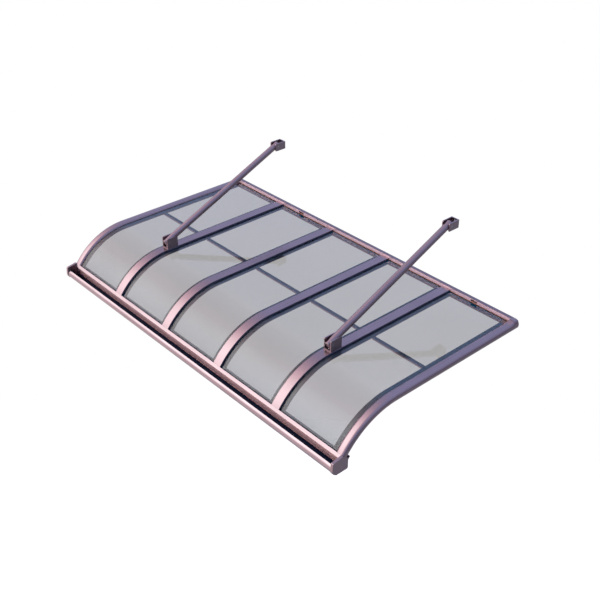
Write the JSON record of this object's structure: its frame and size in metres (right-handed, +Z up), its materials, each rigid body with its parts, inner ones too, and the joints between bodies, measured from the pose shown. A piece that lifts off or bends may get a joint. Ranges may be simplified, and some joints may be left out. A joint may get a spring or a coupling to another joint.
{
  "type": "door canopy with clear panels",
  "caption": "Door canopy of clear smoked panels on curved aluminium ribs, with a wall rail, a front gutter and two tie rods back to wall brackets.",
  "frame": {"origin": "centre of the wall rail's back face, on the wall", "axes": "+X along the wall, +Y into the wall, +Z up; the canopy stands out towards -Y"},
  "size_m": [1.6, 0.904, 0.4662],
  "materials": {
    "anodised": "satin anodised, slightly rosy grey",
    "smoked_sheet": "clear smoked grey sheet, glossy",
    "rubber": "matt black seal",
    "steel": "plain stainless steel"
  },
  "bodies": {
    "canopy": {"wall_rail": "anodised", "rear_gasket": "rubber", "front_gutter": "anodised", "front_gasket": "rubber", "end_rib_left": "anodised", "corner_piece_left": "anodised", "gutter_end_cap_left": "anodised", "rib_bracket_left": "anodised", "bracket_screw_left_1": "steel", "bracket_screw_left_2": "steel", "lower_pin_left": "steel", "end_rib_right": "anodised", "corner_piece_right": "anodised", "gutter_end_cap_right": "anodised", "rib_bracket_right": "anodised", "bracket_screw_right_1": "steel", "bracket_screw_right_2": "steel", "lower_pin_right": "steel", "rib_beam_1": "anodised", "rib_gasket_1": "rubber", "rib_cap_1": "anodised", "rib_beam_2": "anodised", "rib_gasket_2": "rubber", "rib_cap_2": "anodised", "rib_beam_3": "anodised", "rib_gasket_3": "rubber", "rib_cap_3": "anodised", "rib_beam_4": "anodised", "rib_gasket_4": "rubber", "rib_cap_4": "anodised", "panel_1": "smoked_sheet", "purlin_1": "anodised", "panel_2": "smoked_sheet", "purlin_2": "anodised", "panel_3": "smoked_sheet", "purlin_3": "anodised", "panel_4": "smoked_sheet", "purlin_4": "anodised", "panel_5": "smoked_sheet", "purlin_5": "anodised", "rail_screw_1": "steel", "rail_screw_2": "steel"},
    "left_rod": {"tie_rod_left": "anodised", "rod_plug_left_low": "anodised", "rod_plug_left_high": "anodised"},
    "left_wall_bracket": {"wall_bracket_left": "anodised", "upper_pin_left": "steel"},
    "right_rod": {"tie_rod_right": "anodised", "rod_plug_right_low": "anodised", "rod_plug_right_high": "anodised"},
    "right_wall_bracket": {"wall_bracket_right": "anodised", "upper_pin_right": "steel"}
  },
  "joints": [
    {"name": "left_rod_hinge", "type": "hinge", "parent": "canopy", "child": "left_rod", "pos_m": [-0.474, -0.6132, 0.03875], "axis": [1, 0, 0], "range_deg": [-20, 60]},
    {"name": "left_bracket_hinge", "type": "hinge", "parent": "left_rod", "child": "left_wall_bracket", "pos_m": [-0.474, -0.038, 0.28705], "axis": [1, 0, 0], "range_deg": [-90, 90]},
    {"name": "right_rod_hinge", "type": "hinge", "parent": "canopy", "child": "right_rod", "pos_m": [0.474, -0.6132, 0.03875], "axis": [1, 0, 0], "range_deg": [-20, 60]},
    {"name": "right_bracket_hinge", "type": "hinge", "parent": "right_rod", "child": "right_wall_bracket", "pos_m": [0.474, -0.038, 0.28705], "axis": [1, 0, 0], "range_deg": [-90, 90]}
  ]
}
